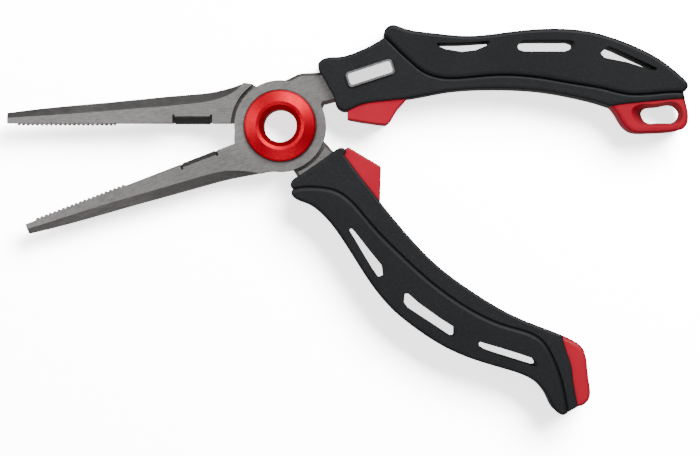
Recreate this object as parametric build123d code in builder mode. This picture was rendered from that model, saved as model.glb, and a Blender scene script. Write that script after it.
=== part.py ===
"""Fishing pliers with a magnetic return, lying flat and resting open.

Frame, in millimetres: the origin is on the pivot axis, on the plane where the two levers meet.
+Z runs along the pivot axis to the front face, and the jaws point along -X.
The rear lever (upper jaw, lower handle) keeps its gripping face along X.
The front lever (lower jaw, upper handle) is turned OPEN_ANGLE from closed.
"""

import os
from functools import partial

from build123d import *

# ---- driving dimensions -------------------------------------------------------------------------
OPEN_ANGLE = 21.0  # between the jaws at rest
UPPER_SET = 21.0  # the upper handle leaves its lever this far below the jaw line
LOWER_SET = 42.0  # the lower handle leaves its lever this far below the jaw line

JAW_LENGTH = 83.1  # pivot axis to jaw tip
JAW_LINE = {1: 0.6, -1: 0.23}  # the closed upper (1) and lower (-1) jaw lines, above the axis
LEVER_T = 9.0  # thickness of jaws and tangs
TIP_T = 4.6  # thickness of a jaw at its tip
TANG_T = 6.0  # thickness of a tang inside its grip
CORE_T = 15.0  # thickness of the hard grip core
PAD_T = 17.0  # thickness of the soft grip pad
HOUSING_T = 13.0  # thickness of a magnet housing
CAP_T = 13.4  # thickness of an end cap

DISC_R = 13.9  # lap disc
SHOULDER_R = 15.0  # shoulder around the other lever's disc
COLLAR_R = 10.8
BARREL_R = 6.6
EYE_R = 5.0  # clear hole through the pivot
RUNNING = 0.05  # clearance of the front lever on the barrel and between the laps
SEATED = 0.02  # clearance of fixed parts on the barrel

LAP_HALF_GAP = 0.15  # each lap disc stops this far from the parting plane
LAP_WASHER_T = 0.25
COLLAR_WASHER_T = 0.3

HALF_T = LEVER_T / 2
REAR = Plane.XY
FRONT = Plane.XY.rotated((0, 0, OPEN_ANGLE))
UPPER = Plane.XY.rotated((0, 0, OPEN_ANGLE - UPPER_SET))
LOWER = Plane.XY.rotated((0, 0, -LOWER_SET))

os.makedirs("parts", exist_ok=True)


# ---- helpers ------------------------------------------------------------------------------------
def draw(*runs):
    """Closes runs of (Spline or Polyline, points) into a face of the sketch being built."""
    with BuildLine() as outline:
        for shape, points in runs:
            shape(*points)
    make_face(outline.edges())


def slab(plane, thickness, *runs, mode=Mode.ADD):
    """A plate with that outline, centred on the plane."""
    with BuildSketch(plane) as outline:
        draw(*runs)
    extrude(outline.sketch, amount=thickness / 2, both=True, mode=mode)


def discs(plane, thickness, radius, places, mode=Mode.ADD):
    """Round plates, or holes, centred on the plane."""
    with BuildSketch(plane) as outline:
        with Locations(*places):
            Circle(radius)
    extrude(outline.sketch, amount=thickness / 2, both=True, mode=mode)


def rims():
    """The edges of the part being built that lie in its front and back faces."""
    levels = edges().group_by(Axis.Z)
    return levels[0] + levels[-1]


def save(part, name):
    """Labels a finished piece and writes its STEP file."""
    part.label = name
    export_step(part, f"parts/{name}.step")


# ---- jaws ---------------------------------------------------------------------------------------
# Points of a jaw are (x, height above the closed jaw line).
TEETH_PITCH = 1.4
TEETH_START = -79.8
TEETH_COUNT = 21
TEETH_WAVE = 0.35  # half the height of a tooth
FACE_RELIEF = 0.3  # the plain faces stand back this far from the closed line
JAW_OVERRUN = 85.0  # the outline runs past the tip, which is then trimmed square
TAPER_START = 34.0
BEVEL_EDGE = 1.4  # half the flat left along the back of a jaw

JAW_BACK = [(-85.0, 3.15), (-70.0, 5.05), (-50.0, 6.85), (-30.0, 8.8), (-20.0, 9.85)]
JAW_BEVEL = [(-85.0, -2.2), (-70.0, 0.1), (-50.0, 3.3), (-30.0, 5.8), (-20.0, 7.2)]
REAR_BACK_ROOT = [(-16.0, 10.8), (-11.2, 12.5)]
REAR_BEVEL_ROOT = [(-15.0, 9.1), (-11.2, 12.5)]
REAR_ROOT_END = [(-8.5, 12.2), (-5.0, 10.0), (-5.0, 1.0)]
FRONT_BACK_ROOT = [(-13.0, 11.1), (-9.4, 11.8), (-5.7, 12.8), (-1.9, 14.1)]
FRONT_BEVEL_ROOT = [(-16.0, 8.7), (-11.0, 11.5)]
FRONT_ROOT_END = [(1.0, 8.0), (-5.0, 1.0)]
FRONT_WEB = [(-14.8, 1.6), (-14.8, 0.2), (-14.0, -2.0), (-13.0, -4.6)]

CUTTER_X = (-32.0, -21.3)
CUTTER_TOP = (2.3, 1.45)  # height of the insert's seat on its wide and narrow sides
BEVEL_RISE = (1.9, 1.1)  # rise of the ground faces on those sides
RELIEF_W = 0.7  # slots at both ends of the insert
RELIEF_EXTRA = 0.5  # how far the slots are cut beyond the seat
EAR_T = 6.6  # thickness of the insert's ears, which fill the middle of the slots
EAR_FOOT = 0.4  # the ears stand back this far from the jaw line


def jaw_points(side, points):
    """Turns (x, height) into the lever's plane; side is 1 for the upper jaw and -1 for the lower."""
    return [(x, JAW_LINE[side] + side * height) for x, height in points]


def gripping_edge(side):
    """The inner edge of a jaw, from the tip to the pivot, with its row of teeth."""
    # Both rows follow the same zigzag, so the closed teeth nest.
    points = [(-JAW_OVERRUN, FACE_RELIEF), (TEETH_START, FACE_RELIEF)]
    for i in range(2 * TEETH_COUNT + 1):
        wave = TEETH_WAVE if i % 2 else -TEETH_WAVE
        points.append((TEETH_START + i * TEETH_PITCH / 2, side * wave))
    teeth_end = TEETH_START + TEETH_COUNT * TEETH_PITCH
    points += [(teeth_end, FACE_RELIEF), (-SHOULDER_R, FACE_RELIEF)]
    return points


def add_jaw(plane, side, back_root, bevel_root, root_end):
    """Adds a jaw to the lever being built; root_end lists the points that end it in the lap disc."""
    back = jaw_points(side, JAW_BACK + back_root)
    edge = jaw_points(side, gripping_edge(side))
    closing = [back[-1], *jaw_points(side, root_end), edge[-1]]
    slab(plane, LEVER_T, (Spline, back), (Polyline, edge), (Polyline, [back[0], edge[0]]),
         (Polyline, closing))

    bevel = jaw_points(side, JAW_BEVEL + bevel_root)
    for level in (1, -1):
        sections = []
        for curve, height in ((back, BEVEL_EDGE), (bevel, HALF_T + 0.01)):
            far = [(curve[-1][0], side * 22), (curve[0][0], side * 22)]
            with BuildSketch(plane.offset(level * height)) as section:
                draw((Spline, curve), (Polyline, [curve[-1], *far, curve[0]]))
            sections.append(section.sketch)
        loft(sections, ruled=True, mode=Mode.SUBTRACT)

    side_view = Plane(origin=(0, 0, 0), x_dir=plane.x_dir, z_dir=-plane.y_dir)
    slope = (LEVER_T - TIP_T) / 2 / (JAW_LENGTH - TAPER_START)
    end_x = JAW_OVERRUN + 1
    end_z = HALF_T - slope * (end_x - TAPER_START)
    for level in (1, -1):
        wedge = [(-TAPER_START, level * HALF_T), (-end_x, level * end_z),
                 (-end_x, level * LEVER_T), (-TAPER_START, level * LEVER_T)]
        slab(side_view, 60, (Polyline, [*wedge, wedge[0]]), mode=Mode.SUBTRACT)
    trim = [(-JAW_LENGTH, -LEVER_T), (-JAW_LENGTH, LEVER_T), (-90, LEVER_T), (-90, -LEVER_T)]
    slab(side_view, 60, (Polyline, [*trim, trim[0]]), mode=Mode.SUBTRACT)


def across(plane, x):
    """The plane that cuts a jaw square at x, with its own axes (up the jaw, +Z)."""
    return Plane(origin=plane.from_local_coords((x, 0, 0)), x_dir=plane.y_dir, z_dir=plane.x_dir)


def by_side(side, wide, narrow):
    """The front and back values of a cutter: the upper one has its wide side in front."""
    return (wide, narrow) if side == 1 else (narrow, wide)


def bar_across(plane, side, start, length, profile, mode=Mode.ADD):
    """A straight bar along a jaw, with a profile of (height above the jaw line, z)."""
    points = [(JAW_LINE[side] + side * height, z) for height, z in profile]
    with BuildSketch(across(plane, start)) as section:
        draw((Polyline, [*points, points[0]]))
    extrude(section.sketch, amount=length, mode=mode)


def cutter_seat(plane, side):
    """Cuts the seat of the cutter insert, with a relief slot at each end, out of a jaw."""
    left, right = CUTTER_X
    low = -2.0
    front, back = by_side(side, *CUTTER_TOP)
    for start, length, extra in ((left, right - left, 0), (left - RELIEF_W, RELIEF_W, RELIEF_EXTRA),
                                 (right, RELIEF_W, RELIEF_EXTRA)):
        roof = [(low, HALF_T), (front + extra, HALF_T), (back + extra, -HALF_T), (low, -HALF_T)]
        bar_across(plane, side, start, length, roof, mode=Mode.SUBTRACT)


def cutter(plane, side):
    """A cutter insert, with its cutting edge midway through the jaw and an ear in each slot."""
    left, right = CUTTER_X
    front, back = by_side(side, *CUTTER_TOP)
    front_rise, back_rise = by_side(side, *BEVEL_RISE)
    profile = [(0, 0), (front_rise, HALF_T), (front, HALF_T), (back, -HALF_T), (back_rise, -HALF_T)]
    bar_across(plane, side, left, right - left, profile)
    lean = (front - back) / LEVER_T * EAR_T / 2
    roof = (front + back) / 2 + RELIEF_EXTRA
    ear = [(EAR_FOOT, EAR_T / 2), (roof + lean, EAR_T / 2), (roof - lean, -EAR_T / 2),
           (EAR_FOOT, -EAR_T / 2)]
    for start in (left - RELIEF_W, right):
        bar_across(plane, side, start, RELIEF_W, ear)


# ---- levers -------------------------------------------------------------------------------------
# Tang outlines in their handle's plane, from the lap disc into the grip.
UPPER_TANG_NECK = [(-4.0, 11.0), (-2.8, 13.4), (1.5, 13.8), (3.5, 14.7), (5.2, 15.6), (7.0, 16.0),
                   (12.5, 16.2), (18.0, 16.4), (18.0, 7.8), (13.4, 6.6), (12.6, 4.6), (0.0, 0.0)]
LOWER_TANG_NECK = [(4.0, 5.6), (12.8, 5.5), (19.0, 4.8), (19.0, -6.6), (14.5, -8.0), (12.0, -7.4),
                   (4.0, -6.5)]
UPPER_BAR = [
    (Spline, [(16.0, 16.2), (30.0, 17.6), (50.0, 19.0), (65.0, 19.3), (80.0, 18.5), (92.0, 16.4)]),
    (Spline, [(92.0, 16.4), (94.6, 13.0), (92.0, 10.0)]),
    (Spline, [(92.0, 10.0), (80.0, 12.2), (65.0, 13.0), (50.0, 12.6), (30.0, 10.4), (16.0, 7.8)]),
    (Polyline, [(16.0, 7.8), (16.0, 16.2)]),
]
LOWER_BAR = [
    (Spline, [(17.0, 4.8), (24.0, 3.4), (38.0, 0.2), (52.0, -2.0), (66.0, -2.5), (80.0, -0.9),
              (89.0, 1.2)]),
    (Spline, [(89.0, 1.2), (92.0, -1.4), (89.0, -4.8)]),
    (Spline, [(89.0, -4.8), (80.0, -7.2), (66.0, -8.8), (52.0, -8.2), (38.0, -5.6), (24.0, -5.0),
              (17.0, -6.4)]),
    (Polyline, [(17.0, -6.4), (17.0, 4.8)]),
]
UPPER_LOCK_HOLES = [(44.0, 15.4), (66.0, 16.2), (86.0, 14.6)]
LOWER_LOCK_HOLES = [(40.0, -3.0), (62.0, -5.6), (83.0, -3.6)]
LOCK_HOLE_R = 1.6
TANG_CHAMFER = 0.9


def add_tang(plane, neck, bar, lock_holes):
    """Adds a tang: a full-thickness neck with broken edges, then a thinner bar for the grip."""
    slab(plane, LEVER_T, (Polyline, [*neck, neck[0]]))
    shown = [edge for edge in rims() if plane.to_local_coords(edge.center()).X < 18]
    chamfer(shown, TANG_CHAMFER)
    slab(plane, TANG_T, *bar)
    discs(plane, TANG_T, LOCK_HOLE_R, lock_holes, mode=Mode.SUBTRACT)


def finish_lap(plane, toward, bore_r):
    """Cuts the recess for the other lever's disc, adds this lever's own disc, and bores it."""
    level = plane.offset(toward * LAP_HALF_GAP)
    with BuildSketch(level) as recess:
        Circle(SHOULDER_R)
    extrude(recess.sketch, amount=-toward * LEVER_T, mode=Mode.SUBTRACT)
    with BuildSketch(level) as disc:
        Circle(DISC_R)
    extrude(disc.sketch, amount=toward * (HALF_T - LAP_HALF_GAP))
    discs(plane, 2 * LEVER_T, bore_r, [(0, 0)], mode=Mode.SUBTRACT)


with BuildPart() as rear_lever:
    add_tang(LOWER, LOWER_TANG_NECK, LOWER_BAR, LOWER_LOCK_HOLES)
    add_jaw(REAR, 1, REAR_BACK_ROOT, REAR_BEVEL_ROOT, REAR_ROOT_END)
    cutter_seat(REAR, 1)
    finish_lap(REAR, -1, BARREL_R + SEATED)

with BuildPart() as front_lever:
    add_tang(UPPER, UPPER_TANG_NECK, UPPER_BAR, UPPER_LOCK_HOLES)
    add_jaw(FRONT, -1, FRONT_BACK_ROOT, FRONT_BEVEL_ROOT, FRONT_ROOT_END)
    web = jaw_points(-1, FRONT_WEB)
    slab(FRONT, LEVER_T, (Spline, web), (Polyline, [web[-1], (-8.0, 0.0), web[0]]))
    cutter_seat(FRONT, -1)
    finish_lap(FRONT, 1, BARREL_R + RUNNING)

with BuildPart() as upper_cutter:
    cutter(REAR, 1)

with BuildPart() as lower_cutter:
    cutter(FRONT, -1)

save(rear_lever.part, "rear_lever")
save(front_lever.part, "front_lever")
save(upper_cutter.part, "upper_cutter")
save(lower_cutter.part, "lower_cutter")


# ---- pivot --------------------------------------------------------------------------------------
# Profiles are (distance from the axis, height along it), for the front; the rear nut is a mirror.
WASHER_TOP = HALF_T + COLLAR_WASHER_T + RUNNING
COLLAR_TOP = 7.4
COLLAR_RIM = WASHER_TOP + 0.75
LIP_R = (6.35, 7.35)
LIP_DROP = 0.35
DISH_DEPTH = 2.4
SLEEVE_END = -7.0
REAR_DISH = 1.0
COLLAR_FACE = [(COLLAR_R, WASHER_TOP), (COLLAR_R, COLLAR_RIM), (COLLAR_R - 0.4, COLLAR_RIM + 0.35),
               (LIP_R[1], COLLAR_TOP), (LIP_R[0], COLLAR_TOP - LIP_DROP)]
AXIS_PLANE = Plane.XZ

with BuildPart() as pivot_sleeve:
    with BuildSketch(AXIS_PLANE) as profile:
        draw((Polyline, [*COLLAR_FACE, (EYE_R, COLLAR_TOP - DISH_DEPTH),
                         (EYE_R, SLEEVE_END + REAR_DISH), (EYE_R + REAR_DISH, SLEEVE_END),
                         (BARREL_R, SLEEVE_END), (BARREL_R, WASHER_TOP), COLLAR_FACE[0]]))
    revolve(profile.sketch, axis=Axis.Z)

with BuildPart() as pivot_ring_nut:
    with BuildSketch(AXIS_PLANE) as profile:
        bottom = -(HALF_T + COLLAR_WASHER_T)
        rear_face = [(r, -z) for r, z in COLLAR_FACE[1:-1]]
        nut_r = BARREL_R + SEATED
        draw((Polyline, [(COLLAR_R, bottom), *rear_face, (nut_r, -COLLAR_TOP), (nut_r, bottom),
                         (COLLAR_R, bottom)]))
    revolve(profile.sketch, axis=Axis.Z)


def washer(outer_r, low, high):
    """A flat ring around the barrel."""
    with BuildSketch(REAR.offset(low)) as ring:
        Circle(outer_r)
        Circle(BARREL_R + SEATED, mode=Mode.SUBTRACT)
    extrude(ring.sketch, amount=high - low)


with BuildPart() as lap_washer:
    washer(DISC_R - 0.4, -LAP_HALF_GAP, -LAP_HALF_GAP + LAP_WASHER_T)

with BuildPart() as front_collar_washer:
    washer(COLLAR_R + 0.3, HALF_T + RUNNING, WASHER_TOP)

with BuildPart() as rear_collar_washer:
    washer(COLLAR_R + 0.3, -HALF_T - COLLAR_WASHER_T, -HALF_T)

save(pivot_sleeve.part, "pivot_sleeve")
save(pivot_ring_nut.part, "pivot_ring_nut")
save(lap_washer.part, "lap_washer")
save(front_collar_washer.part, "front_collar_washer")
save(rear_collar_washer.part, "rear_collar_washer")


# ---- things let into the grips -------------------------------------------------------------------
MAGNET_R = 3.6
MAGNET_L = 2.2


def disc_outline(plane, radius):
    """A disc standing on the plane."""
    with BuildSketch(plane) as disc:
        Circle(radius)
    return disc.sketch


def facing_plane(handle, base, ahead):
    """A plane through base that looks towards ahead, both given in the handle's plane."""
    origin, target = (Vector(*handle.from_local_coords((x, y, 0))) for x, y in (base, ahead))
    return Plane(origin=origin, z_dir=target - origin)


UPPER_MAGNET = facing_plane(UPPER, (26.6, 6.4), (24.3, 1.9))
LOWER_MAGNET = facing_plane(LOWER, (26.6, 5.1), (28.4, 10.0))

PLATE_SIZE = (14.6, 4.7)
PLATE_T = 1.2
PLATE_SINK = 0.5
PLATE_CORNER = 1.1
INLAY_MARGIN = 0.6
INLAY_T = 0.5
INLAY_PROUD = 0.15
PLATE_PLANE = UPPER.offset(CORE_T / 2 - PLATE_SINK)
PLATE_PLACE = Location((27.3, 15.8), 18)


def plate_outline(plane, margin):
    """The rounded outline of the nameplate, moved inwards by the margin."""
    with BuildSketch(plane) as outline:
        with Locations(PLATE_PLACE):
            RectangleRounded(PLATE_SIZE[0] - 2 * margin, PLATE_SIZE[1] - 2 * margin,
                             PLATE_CORNER - margin / 2)
    return outline.sketch


# ---- grips --------------------------------------------------------------------------------------
# Every outline is in its handle's plane. A core is the neck and the inner rail; its pad lies along
# the outside, moulded around a tongue of the core.
TONGUE_T = 10.0
UPPER_CORE_ROUND = 0.9
LOWER_CORE_ROUND = 0.7
PAD_ROUND = 1.2
WINDOW_CORNER = 0.45

UPPER_CREASE = [(31.8, 26.8), (34.0, 24.7), (36.6, 22.1), (40.0, 19.0), (44.0, 16.0), (50.0, 14.4),
                (60.0, 14.9), (70.0, 15.3), (80.0, 14.3), (90.0, 12.6), (98.0, 11.2), (105.0, 9.6),
                (110.0, 9.5), (116.0, 10.0), (122.1, 10.1)]
UPPER_CORE_END = [(122.1, 10.1), (122.6, 8.2)]
UPPER_CAP_BORDER = [(122.6, 8.2), (115.0, 7.6), (107.0, 6.8), (102.0, 6.2), (100.1, 5.8)]
UPPER_RAIL = [(100.1, 5.8), (95.0, 7.4), (90.0, 8.6), (80.0, 10.4), (70.0, 11.15), (60.0, 11.15),
              (50.0, 10.3), (44.0, 9.15), (38.5, 8.2), (30.0, 7.3), (23.0, 5.7), (19.2, 4.5),
              (17.2, 5.9), (16.4, 8.4), (14.9, 11.2), (13.3, 14.2), (11.9, 16.6), (11.5, 18.6),
              (13.4, 20.3), (18.0, 20.8), (23.0, 22.2), (31.8, 26.8)]
UPPER_TONGUE = [(35.5, 20.5), (37.0, 23.9), (40.0, 22.8), (50.0, 20.2), (60.0, 20.6), (70.0, 20.6),
                (80.0, 19.7), (90.0, 18.2), (98.0, 16.4), (108.0, 13.2), (113.5, 11.3), (115.0, 9.0)]
UPPER_TONGUE_ROOT = [(115.0, 9.0), (98.0, 9.0), (75.0, 13.0), (50.0, 12.5), (42.0, 15.0),
                     (35.5, 20.5)]
UPPER_PAD = [(31.8, 26.8), (31.5, 28.4), (33.4, 30.3), (37.0, 29.6), (45.0, 28.1), (57.0, 27.1),
             (70.0, 28.4), (83.0, 29.3), (95.0, 28.1), (105.0, 24.9), (115.0, 19.9), (121.2, 15.0),
             (123.4, 12.1), (122.1, 10.1)]
UPPER_WINDOWS = [
    [(47.0, 24.9), (55.0, 25.0), (64.1, 25.6), (62.7, 24.2), (59.2, 22.7), (55.0, 22.2),
     (50.0, 23.0), (47.3, 24.2)],
    [(73.2, 25.6), (75.0, 25.8), (87.4, 25.8), (89.0, 25.2), (89.2, 24.4), (87.8, 23.0), (86.0, 22.3),
     (73.8, 22.3), (72.0, 22.9), (71.8, 24.0)],
    [(99.2, 24.0), (101.2, 23.3), (110.0, 19.2), (114.2, 17.2), (113.6, 16.5), (111.6, 16.9),
     (105.0, 19.0), (98.0, 20.4), (96.8, 21.8)],
]

LOWER_CREASE = [(15.8, -11.6), (17.9, -9.0), (21.9, -5.6), (25.0, -3.7), (30.0, -2.6), (35.0, -2.9),
                (42.0, -3.9), (50.0, -4.4), (65.0, -4.6), (75.0, -3.7), (85.0, -1.6), (91.0, 0.6),
                (97.0, 3.5), (102.0, 4.7), (108.0, 3.2), (115.0, -0.5), (122.7, -6.2)]
LOWER_CORE_END = [(122.7, -6.2), (123.4, -4.3), (123.9, -2.9)]
LOWER_CAP_BORDER = [(123.9, -2.9), (119.8, 0.2), (117.3, 2.2), (114.6, 4.6), (110.4, 7.1),
                    (106.0, 10.0)]
LOWER_RAIL = [(106.0, 10.0), (100.0, 7.7), (95.0, 5.8), (87.0, 3.5), (80.0, 2.15), (70.0, 0.8),
              (62.6, 0.4), (55.0, 0.8), (45.0, 2.0), (38.0, 3.1), (30.0, 4.5), (20.3, 6.4)]
LOWER_NECK = [(20.3, 6.4), (19.8, 7.8), (18.6, 7.7), (17.5, 6.0), (17.0, 3.6), (15.5, -3.2),
              (14.3, -7.7), (13.9, -10.1), (14.5, -11.3), (15.8, -11.6)]
LOWER_TONGUE = [(20.0, -5.5), (20.6, -9.2), (25.0, -7.8), (38.0, -7.0), (46.0, -8.3),
                (54.0, -9.6), (64.0, -10.1), (74.0, -9.2), (82.0, -7.8), (90.0, -5.2), (97.0, -1.9),
                (104.0, 1.0), (110.0, 0.6), (112.5, 2.8)]
LOWER_TONGUE_ROOT = [(112.5, 2.8), (103.0, 6.5), (95.0, 4.2), (85.0, 0.5), (75.0, -2.0),
                     (50.0, -2.5), (30.0, -1.0), (20.0, -5.5)]
LOWER_PAD = [(15.8, -11.6), (16.6, -13.1), (18.4, -13.3), (21.5, -12.2), (27.0, -11.4), (35.0, -12.5),
             (45.0, -15.2), (55.0, -17.7), (63.0, -18.6), (72.0, -18.1), (82.0, -16.4), (92.0, -12.9),
             (100.0, -9.1), (109.0, -6.0), (115.0, -6.8), (120.0, -8.4), (122.3, -7.7), (122.7, -6.2)]
LOWER_WINDOWS = [
    [(36.4, -8.6), (38.2, -8.7), (45.0, -9.9), (51.4, -10.9), (53.7, -12.8), (53.0, -14.2),
     (50.0, -13.5), (45.0, -12.0), (40.0, -10.4), (36.9, -9.5)],
    [(62.0, -12.5), (62.9, -11.8), (66.9, -11.8), (75.0, -10.9), (80.2, -10.0), (82.0, -12.0),
     (81.2, -12.8), (75.0, -13.7), (70.0, -14.5), (66.0, -15.1), (63.6, -14.6)],
    [(88.2, -8.3), (89.8, -7.6), (95.0, -5.1), (100.0, -2.8), (104.2, -1.0), (106.6, -1.7),
     (105.6, -2.7), (100.0, -5.3), (95.0, -7.6), (91.9, -8.9), (89.4, -9.3)],
]


def grip_core(plane, outline, rounding, tongue, root, neck, bar, lock_holes):
    """A hard core around its tang, with a tongue for the pad."""
    slab(plane, CORE_T, *outline)
    fillet(rims(), rounding)
    slab(plane, TONGUE_T, (Spline, tongue), (Polyline, root))
    slab(plane, LEVER_T, (Polyline, [*neck, neck[0]]), mode=Mode.SUBTRACT)
    slab(plane, TANG_T, *bar, mode=Mode.SUBTRACT)
    discs(plane, TANG_T, LOCK_HOLE_R, lock_holes)


def grip_pad(plane, crease, outer, tongue, root, windows):
    """A soft pad with rounded edges and three windows, hollow where the tongue enters it."""
    slab(plane, PAD_T, (Spline, crease), (Spline, outer))
    fillet(rims(), PAD_ROUND)
    for window in windows:
        with BuildSketch(plane) as opening:
            draw((Polyline, [*window, window[0]]))
            offset(amount=-WINDOW_CORNER, kind=Kind.INTERSECTION, mode=Mode.REPLACE)
            offset(amount=WINDOW_CORNER, mode=Mode.REPLACE)
        extrude(opening.sketch, amount=PAD_T, both=True, mode=Mode.SUBTRACT)
    slab(plane, TONGUE_T, (Spline, tongue), (Polyline, root), mode=Mode.SUBTRACT)


UPPER_CORE = [(Spline, UPPER_CREASE), (Polyline, UPPER_CORE_END), (Spline, UPPER_CAP_BORDER),
              (Spline, UPPER_RAIL)]
LOWER_CORE = [(Spline, LOWER_CREASE), (Spline, LOWER_CORE_END), (Spline, LOWER_CAP_BORDER),
              (Spline, LOWER_RAIL), (Spline, LOWER_NECK)]

with BuildPart() as upper_grip_core:
    grip_core(UPPER, UPPER_CORE, UPPER_CORE_ROUND, UPPER_TONGUE, UPPER_TONGUE_ROOT,
              UPPER_TANG_NECK, UPPER_BAR, UPPER_LOCK_HOLES)
    extrude(disc_outline(UPPER_MAGNET, MAGNET_R), amount=MAGNET_L, mode=Mode.SUBTRACT)
    extrude(plate_outline(PLATE_PLANE, 0), amount=PLATE_T, mode=Mode.SUBTRACT)

with BuildPart() as lower_grip_core:
    grip_core(LOWER, LOWER_CORE, LOWER_CORE_ROUND, LOWER_TONGUE, LOWER_TONGUE_ROOT,
              LOWER_TANG_NECK, LOWER_BAR, LOWER_LOCK_HOLES)
    extrude(disc_outline(LOWER_MAGNET, MAGNET_R), amount=MAGNET_L, mode=Mode.SUBTRACT)

with BuildPart() as upper_grip_pad:
    grip_pad(UPPER, UPPER_CREASE, UPPER_PAD, UPPER_TONGUE, UPPER_TONGUE_ROOT, UPPER_WINDOWS)

with BuildPart() as lower_grip_pad:
    grip_pad(LOWER, LOWER_CREASE, LOWER_PAD, LOWER_TONGUE, LOWER_TONGUE_ROOT, LOWER_WINDOWS)

save(upper_grip_core.part, "upper_grip_core")
save(lower_grip_core.part, "lower_grip_core")
save(upper_grip_pad.part, "upper_grip_pad")
save(lower_grip_pad.part, "lower_grip_pad")


# ---- magnet housings and magnets ----------------------------------------------------------------
HOUSING_ROUND = 0.6
UPPER_HOUSING_SIDES = [(20.4, 9.0), (20.4, 2.1), (20.9, 1.85), (25.0, 1.1), (30.0, 0.4), (32.0, 0.2)]
UPPER_HOUSING_TAIL = [(32.0, 0.2), (33.0, 0.9), (35.0, 4.0), (38.0, 7.7), (40.0, 10.6)]
UPPER_HOUSING_BACK = [(40.0, 10.6), (20.4, 9.0)]
LOWER_HOUSING_SIDES = [(19.2, 4.0), (19.5, 8.7), (20.2, 9.1), (30.6, 11.2), (31.3, 11.0), (39.8, 1.0)]
with BuildPart() as upper_magnet_housing:
    slab(UPPER, HOUSING_T, (Polyline, UPPER_HOUSING_SIDES), (Spline, UPPER_HOUSING_TAIL),
         (Polyline, UPPER_HOUSING_BACK))
    fillet(rims(), HOUSING_ROUND)
    slab(UPPER, CORE_T, *UPPER_CORE, mode=Mode.SUBTRACT)
    extrude(disc_outline(UPPER_MAGNET, MAGNET_R), amount=MAGNET_L, mode=Mode.SUBTRACT)

with BuildPart() as upper_magnet:
    extrude(disc_outline(UPPER_MAGNET, MAGNET_R), amount=MAGNET_L)

with BuildPart() as lower_magnet_housing:
    slab(LOWER, HOUSING_T, (Polyline, [*LOWER_HOUSING_SIDES, LOWER_HOUSING_SIDES[0]]))
    fillet(rims(), HOUSING_ROUND)
    slab(LOWER, CORE_T, *LOWER_CORE, mode=Mode.SUBTRACT)
    extrude(disc_outline(LOWER_MAGNET, MAGNET_R), amount=MAGNET_L, mode=Mode.SUBTRACT)

with BuildPart() as lower_magnet:
    extrude(disc_outline(LOWER_MAGNET, MAGNET_R), amount=MAGNET_L)

save(upper_magnet_housing.part, "upper_magnet_housing")
save(upper_magnet.part, "upper_magnet")
save(lower_magnet_housing.part, "lower_magnet_housing")
save(lower_magnet.part, "lower_magnet")


# ---- end caps -----------------------------------------------------------------------------------
CAP_ROUND = 1.5
UPPER_CAP = [(122.6, 8.2), (123.3, 5.4), (123.6, 1.8), (122.6, -0.6), (120.0, -1.6), (111.0, -2.2),
             (106.9, -1.9), (104.9, -0.7), (102.8, 2.2), (100.1, 5.8)]
LOOP_WAIST = [(109.9, 3.2), (111.9, 0.9), (115.4, 0.95), (120.0, 1.4), (121.1, 3.4), (119.3, 5.95),
              (114.0, 5.6), (110.4, 4.9)]
LOOP_MOUTH = [(106.3, 3.6), (109.2, 0.4), (115.2, 0.2), (120.8, 0.9), (122.0, 3.4), (120.2, 6.8),
              (113.6, 6.6), (107.0, 5.6)]
LOWER_CAP = [(106.0, 10.0), (110.0, 11.2), (112.6, 11.4), (117.3, 8.7), (121.6, 4.9), (125.0, 1.0),
             (125.1, -0.6), (123.9, -2.9)]

with BuildPart() as lanyard_end_cap:
    slab(UPPER, CAP_T, (Spline, UPPER_CAP_BORDER), (Spline, UPPER_CAP))
    fillet(rims().sort_by(SortBy.LENGTH)[-2:], CAP_ROUND)
    for level in (1, -1):
        funnel = []
        for height, rim in ((0, LOOP_WAIST), (CAP_T / 2 + 0.1, LOOP_MOUTH)):
            with BuildSketch(UPPER.offset(level * height)) as section:
                draw((partial(Spline, periodic=True), rim))
            funnel.append(section.sketch)
        loft(funnel, mode=Mode.SUBTRACT)

with BuildPart() as lower_end_cap:
    slab(LOWER, CAP_T, (Spline, LOWER_CAP_BORDER), (Spline, LOWER_CAP))
    fillet(rims().sort_by(SortBy.LENGTH)[-2:], CAP_ROUND)

save(lanyard_end_cap.part, "lanyard_end_cap")
save(lower_end_cap.part, "lower_end_cap")


# ---- nameplate ----------------------------------------------------------------------------------
with BuildPart() as badge_plate:
    extrude(plate_outline(PLATE_PLANE, 0), amount=PLATE_T)
    extrude(plate_outline(PLATE_PLANE.offset(PLATE_T - INLAY_T), INLAY_MARGIN), amount=INLAY_T,
            mode=Mode.SUBTRACT)

with BuildPart() as badge_inlay:
    extrude(plate_outline(PLATE_PLANE.offset(PLATE_T - INLAY_T), INLAY_MARGIN),
            amount=INLAY_T + INLAY_PROUD)

save(badge_plate.part, "badge_plate")
save(badge_inlay.part, "badge_inlay")
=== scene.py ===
"""The finishes, floor, lights and camera for the fishing pliers, in metres, in the CAD's frame."""

import math

import bpy
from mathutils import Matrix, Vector


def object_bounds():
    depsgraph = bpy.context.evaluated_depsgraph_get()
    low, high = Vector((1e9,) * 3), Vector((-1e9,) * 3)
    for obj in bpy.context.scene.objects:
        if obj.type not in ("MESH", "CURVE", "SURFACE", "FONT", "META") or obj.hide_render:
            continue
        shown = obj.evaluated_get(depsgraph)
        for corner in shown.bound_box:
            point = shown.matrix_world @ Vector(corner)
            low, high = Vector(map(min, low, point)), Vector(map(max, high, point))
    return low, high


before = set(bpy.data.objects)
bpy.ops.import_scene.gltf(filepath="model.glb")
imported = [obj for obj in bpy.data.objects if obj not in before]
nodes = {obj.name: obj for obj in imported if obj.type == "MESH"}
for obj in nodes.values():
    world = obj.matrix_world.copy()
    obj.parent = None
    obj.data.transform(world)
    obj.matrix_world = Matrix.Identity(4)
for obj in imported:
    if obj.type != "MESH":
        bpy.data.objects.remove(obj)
cad_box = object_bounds()
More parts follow.
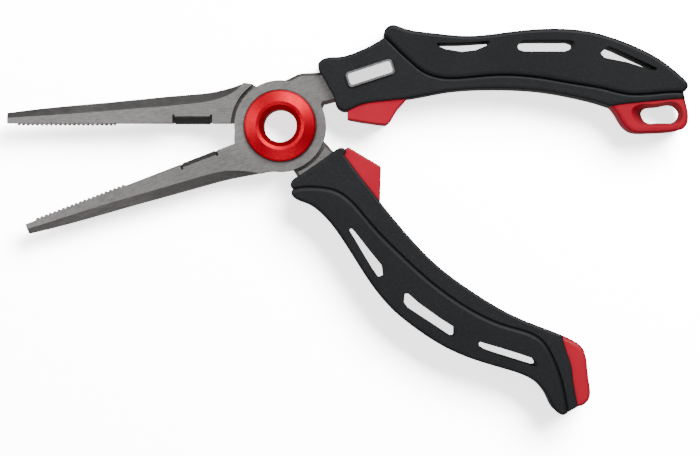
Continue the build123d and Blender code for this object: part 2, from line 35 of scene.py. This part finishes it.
MM = 0.001
OPEN_ANGLE = 21.0  # degrees from the upper jaw's line to the lower jaw's, at rest


# ---- node helpers -------------------------------------------------------------------------------
class Finish:
    """A material under construction: a Principled shader plus short ways to add what feeds it."""

    def __init__(self, name, **sockets):
        self.material = bpy.data.materials.new(name)
        self.material.use_nodes = True
        self.tree = self.material.node_tree
        self.shader = self.tree.nodes["Principled BSDF"]
        for socket, value in sockets.items():
            self.shader.inputs[socket.replace("_", " ")].default_value = value
        self.position = self.add("ShaderNodeTexCoord").outputs["Object"]

    def add(self, kind, **settings):
        node = self.tree.nodes.new(kind)
        for key, value in settings.items():
            setattr(node, key, value)
        return node

    def link(self, source, target):
        self.tree.links.new(source, target)

    def stretch(self, angle, along, across):
        """Object coordinates turned by an angle in the XY plane, then scaled along and across it."""
        turn = self.add("ShaderNodeVectorRotate", rotation_type="Z_AXIS")
        turn.inputs["Angle"].default_value = math.radians(angle)
        self.link(self.position, turn.inputs["Vector"])
        scale = self.add("ShaderNodeVectorMath", operation="MULTIPLY")
        scale.inputs[1].default_value = (along, across, across)
        self.link(turn.outputs["Vector"], scale.inputs[0])
        return scale.outputs["Vector"]

    def noise(self, scale, detail=3.0, vector=None, roughness=0.55):
        node = self.add("ShaderNodeTexNoise")
        node.inputs["Scale"].default_value = scale
        node.inputs["Detail"].default_value = detail
        node.inputs["Roughness"].default_value = roughness
        self.link(vector or self.position, node.inputs["Vector"])
        return node.outputs["Fac"]

    def spots(self, scale):
        node = self.add("ShaderNodeTexVoronoi")
        node.inputs["Scale"].default_value = scale
        self.link(self.position, node.inputs["Vector"])
        return node.outputs["Distance"]

    def spread(self, value, low, high, to_low=0.0, to_high=1.0):
        node = self.add("ShaderNodeMapRange")
        for name, number in (("From Min", low), ("From Max", high), ("To Min", to_low),
                             ("To Max", to_high)):
            node.inputs[name].default_value = number
        self.link(value, node.inputs["Value"])
        return node.outputs["Result"]

    def maths(self, operation, first, second):
        node = self.add("ShaderNodeMath", operation=operation)
        for socket, value in zip(node.inputs, (first, second)):
            if isinstance(value, (int, float)):
                socket.default_value = value
            else:
                self.link(value, socket)
        return node.outputs["Value"]

    def blend(self, factor, low, high):
        """A colour between two, where each is a colour or another node's output."""
        node = self.add("ShaderNodeMix", data_type="RGBA")
        self.link(factor, node.inputs["Factor"])
        for socket, colour in ((node.inputs[6], low), (node.inputs[7], high)):
            if isinstance(colour, tuple):
                socket.default_value = (*colour, 1.0)
            else:
                self.link(colour, socket)
        return node.outputs[2]

    def colour(self, value):
        self.link(value, self.shader.inputs["Base Color"])

    def roughness(self, value):
        self.link(value, self.shader.inputs["Roughness"])

    def bump(self, *layers):
        """Stacks bumps, each (height, depth in millimetres)."""
        normal = None
        for height, depth in layers:
            node = self.add("ShaderNodeBump")
            node.inputs["Strength"].default_value = 1.0
            node.inputs["Distance"].default_value = depth * MM
            self.link(height, node.inputs["Height"])
            if normal:
                self.link(normal, node.inputs["Normal"])
            normal = node.outputs["Normal"]
        self.link(normal, self.shader.inputs["Normal"])


# ---- finishes -----------------------------------------------------------------------------------
def lever_steel(name, angle):
    """Grey steel with bright specks and painted shade on the bevels (every face tilted away from Z),
    brushed along the jaw that the angle turns onto X.
    """
    f = Finish(name, Metallic=1.0, Anisotropic=0.25)
    grain = f.noise(1.0, 4.0, f.stretch(angle, 420.0, 3600.0))
    across = f.noise(1.0, 3.0, f.stretch(angle, 2400.0, 300.0))
    cloud = f.noise(180.0, 4.0)
    speck = f.noise(4200.0, 2.0)
    flat = f.blend(f.spread(grain, 0.32, 0.68), (0.235, 0.225, 0.219), (0.42, 0.405, 0.396))
    flat = f.blend(f.spread(across, 0.35, 0.7, 0.0, 0.45), flat, (0.25, 0.241, 0.236))
    flat = f.blend(f.spread(cloud, 0.4, 0.7, 0.0, 0.4), flat, (0.19, 0.182, 0.178))
    flat = f.blend(f.spread(speck, 0.62, 0.74, 0.0, 0.5), flat, (0.62, 0.605, 0.59))
    # Painted shade: faces tilted away from Z, the bevels, take this darker colour, darker still below |nz|
    # 0.76.
    painted_bevel_shade = f.blend(f.spread(grain, 0.3, 0.7), (0.185, 0.177, 0.173), (0.28, 0.268, 0.262))
    facet = f.add("ShaderNodeVectorTransform", vector_type="NORMAL", convert_from="WORLD",
                  convert_to="OBJECT")
    f.link(f.add("ShaderNodeNewGeometry").outputs["True Normal"], facet.inputs["Vector"])
    parts = f.add("ShaderNodeSeparateXYZ")
    f.link(facet.outputs["Vector"], parts.inputs["Vector"])
    facing = f.maths("ABSOLUTE", parts.outputs["Z"], 0.0)
    painted_bevel_shade = f.blend(f.spread(facing, 0.76, 0.87), painted_bevel_shade, (0.085, 0.081, 0.079))
    # Painted shade: only faces turned nearly straight along Z keep the full flat colour; the rest blend
    # into the painted bevel shade.
    f.colour(f.blend(f.spread(facing, 0.93, 0.985), painted_bevel_shade, flat))
    f.roughness(f.spread(cloud, 0.3, 0.7, 0.40, 0.52))
    f.bump((grain, 0.012), (across, 0.008), (speck, 0.008))
    return f.material


def cutter_carbide():
    """Dark carbide with fine grinding lines along X."""
    f = Finish("cutter_carbide", Metallic=1.0)
    grain = f.noise(1.0, 3.0, f.stretch(90.0, 3000.0, 300.0))
    f.colour(f.blend(f.spread(grain, 0.3, 0.7), (0.05, 0.048, 0.046), (0.12, 0.115, 0.11)))
    f.roughness(f.spread(grain, 0.3, 0.7, 0.3, 0.42))
    f.bump((grain, 0.01))
    return f.material


def turned(name, low, high, rough, pitch, depth, **sockets):
    """Metal with fine rings around the pivot axis."""
    f = Finish(name, Metallic=1.0, **sockets)
    flat = f.add("ShaderNodeVectorMath", operation="MULTIPLY")
    flat.inputs[1].default_value = (1.0, 1.0, 0.0)
    f.link(f.position, flat.inputs[0])
    reach = f.add("ShaderNodeVectorMath", operation="LENGTH")
    f.link(flat.outputs["Vector"], reach.inputs[0])
    turns = f.maths("MULTIPLY", reach.outputs["Value"], 2 * math.pi / (pitch * MM))
    rings = f.maths("SINE", turns, 0.0)
    wear = f.noise(900.0, 4.0)
    grit = f.noise(3600.0, 2.0)
    f.colour(f.blend(f.spread(grit, 0.3, 0.7), low, high))
    f.roughness(f.spread(wear, 0.3, 0.7, rough - 0.04, rough + 0.05))
    f.bump((rings, depth), (grit, 0.012))
    return f.material


def grained_plastic(name, low, high, rough, grain_mm, depth, speck=0.0, **sockets):
    """Moulded plastic with a fine grain; speck is how strongly the tops of the grain show."""
    f = Finish(name, **sockets)
    grain = f.noise(1000.0 / grain_mm, 2.5)
    cells = f.spots(1600.0 / grain_mm)
    cloud = f.noise(60.0, 2.0)
    tone = f.blend(f.spread(cloud, 0.3, 0.7), low, high)
    if speck:
        bright = tuple(3.2 * v + 0.02 for v in high)
        tone = f.blend(f.spread(grain, 0.58, 0.74, 0.0, speck), tone, bright)
    f.colour(tone)
    f.roughness(f.spread(grain, 0.3, 0.7, rough - 0.08, rough + 0.08))
    f.bump((grain, depth), (cells, depth * 0.6))
    return f.material


def pale_floor():
    """The matt white top of a light table."""
    f = Finish("floor_white", Roughness=0.9, Emission_Color=(1.0, 1.0, 1.0, 1.0),
               Emission_Strength=2.2)
    f.colour(f.blend(f.noise(8.0, 2.0), (0.93, 0.93, 0.93), (0.95, 0.95, 0.95)))
    return f.material


core_plastic = grained_plastic("core_black", (0.0080, 0.0086, 0.0102), (0.0105, 0.0113, 0.013), 0.5,
                               0.32, 0.03, 0.35, Specular_IOR_Level=0.2)
pad_rubber = grained_plastic("pad_black", (0.0062, 0.0068, 0.0082), (0.0086, 0.0094, 0.0110), 0.5,
                             0.30, 0.04, 0.3, Specular_IOR_Level=0.2)
red_plastic = grained_plastic("plastic_red", (0.345, 0.003, 0.016), (0.41, 0.005, 0.021), 0.46,
                              0.30, 0.02, 0.06, Specular_IOR_Level=0.2)
red_metal = turned("collar_red", (0.49, 0.002, 0.014), (0.59, 0.005, 0.021), 0.5, 0.22, 0.004)
# Near-black metal for the washers and magnets. Each collar washer shows as a thin dark ring round its red
# collar, and that ring is partly a washer edge and partly painted shade under the collar's rim.
dark_metal_and_rim_shade = turned("washer_steel", (0.05, 0.05, 0.05), (0.09, 0.09, 0.09), 0.4, 0.3, 0.01)
finishes = {
    "front_lever": lever_steel("front_lever_steel", -OPEN_ANGLE),
    "rear_lever": lever_steel("rear_lever_steel", 0.0),
    "upper_cutter": cutter_carbide(),
    "pivot_sleeve": red_metal,
    "pivot_ring_nut": red_metal,
    "lap_washer": dark_metal_and_rim_shade,
    "front_collar_washer": dark_metal_and_rim_shade,
    "rear_collar_washer": dark_metal_and_rim_shade,
    "upper_grip_core": core_plastic,
    "lower_grip_core": core_plastic,
    "upper_grip_pad": pad_rubber,
    "lower_grip_pad": pad_rubber,
    "upper_magnet_housing": red_plastic,
    "lower_magnet_housing": red_plastic,
    "lanyard_end_cap": red_plastic,
    "lower_end_cap": red_plastic,
    "upper_magnet": dark_metal_and_rim_shade,
    "lower_magnet": dark_metal_and_rim_shade,
    "badge_plate": turned("plate_silver", (0.55, 0.55, 0.55), (0.68, 0.68, 0.68), 0.25, 0.3, 0.003),
    "badge_inlay": grained_plastic("inlay_white", (0.92, 0.92, 0.92), (0.96, 0.96, 0.96), 0.4, 0.3,
                                   0.006),
}
finishes["lower_cutter"] = finishes["upper_cutter"]
for name, material in finishes.items():
    mesh = nodes[name].data
    for i in range(len(mesh.materials)):
        mesh.materials[i] = material
    if not mesh.materials:
        mesh.materials.append(material)


# ---- floor, lights and camera -------------------------------------------------------------------
MIDDLE = (0.02, -0.03)  # of the resting pliers, seen from above
AIM = (*MIDDLE, 0.0)
FLOOR_HALF_SIDE = 1.5
WORLD_STRENGTH = 0.25


def plate(name, centre, half_side):
    """A flat square."""
    mesh = bpy.data.meshes.new(name)
    corners = [(centre[0] + a * half_side, centre[1] + b * half_side, centre[2])
               for a, b in ((-1, -1), (1, -1), (1, 1), (-1, 1))]
    mesh.from_pydata(corners, [], [(0, 1, 2, 3)])
    made = bpy.data.objects.new(name, mesh)
    bpy.context.scene.collection.objects.link(made)
    return made


ground = min(point[2] for point in cad_box)
floor = plate("floor", (*MIDDLE, ground), FLOOR_HALF_SIDE)
floor.data.materials.append(pale_floor())
floor.visible_diffuse = False
floor.visible_glossy = False
floor_only = bpy.data.collections.new("floor_only")
floor_only.objects.link(floor)


def softbox(name, place, target, size, power):
    """A soft rectangular light that faces the target."""
    light = bpy.data.lights.new(name, "AREA")
    light.shape = "RECTANGLE"
    light.size, light.size_y = size
    light.energy = power
    made = bpy.data.objects.new(name, light)
    made.location = place
    made.rotation_euler = (Vector(target) - Vector(place)).to_track_quat("-Z", "Y").to_euler()
    bpy.context.scene.collection.objects.link(made)
    return made


softbox("key", (0.34, 0.66, 0.70), AIM, (0.60, 0.45), 15.0)
softbox("side", (-0.75, 0.20, 0.60), AIM, (0.5, 0.8), 7.0)
softbox("front", (0.10, -0.80, 0.75), AIM, (0.9, 0.4), 4.0)
wash = softbox("wash", (0.42, 0.50, 0.80), AIM, (0.65, 0.55), 190.0)
wash.light_linking.receiver_collection = floor_only

world = bpy.data.worlds.new("studio")
world.use_nodes = True
background = world.node_tree.nodes["Background"]
background.inputs["Color"].default_value = (1.0, 1.0, 1.0, 1.0)
background.inputs["Strength"].default_value = WORLD_STRENGTH
bpy.context.scene.world = world

VIEW_WIDTH = 212.1 * MM  # seen across the picture at VIEW_LEVEL
VIEW_LEVEL = 5.0 * MM
VIEW_HEIGHT = 850.0 * MM
VIEW_CENTRE = (21.2 * MM, -31.0 * MM)
SENSOR = 36.0
camera = bpy.data.objects.new("camera", bpy.data.cameras.new("camera"))
camera.data.sensor_width = SENSOR
camera.data.lens = SENSOR * (VIEW_HEIGHT - VIEW_LEVEL) / VIEW_WIDTH
camera.data.clip_start = 0.05
camera.location = (*VIEW_CENTRE, VIEW_HEIGHT)
bpy.context.scene.collection.objects.link(camera)
bpy.context.scene.camera = camera
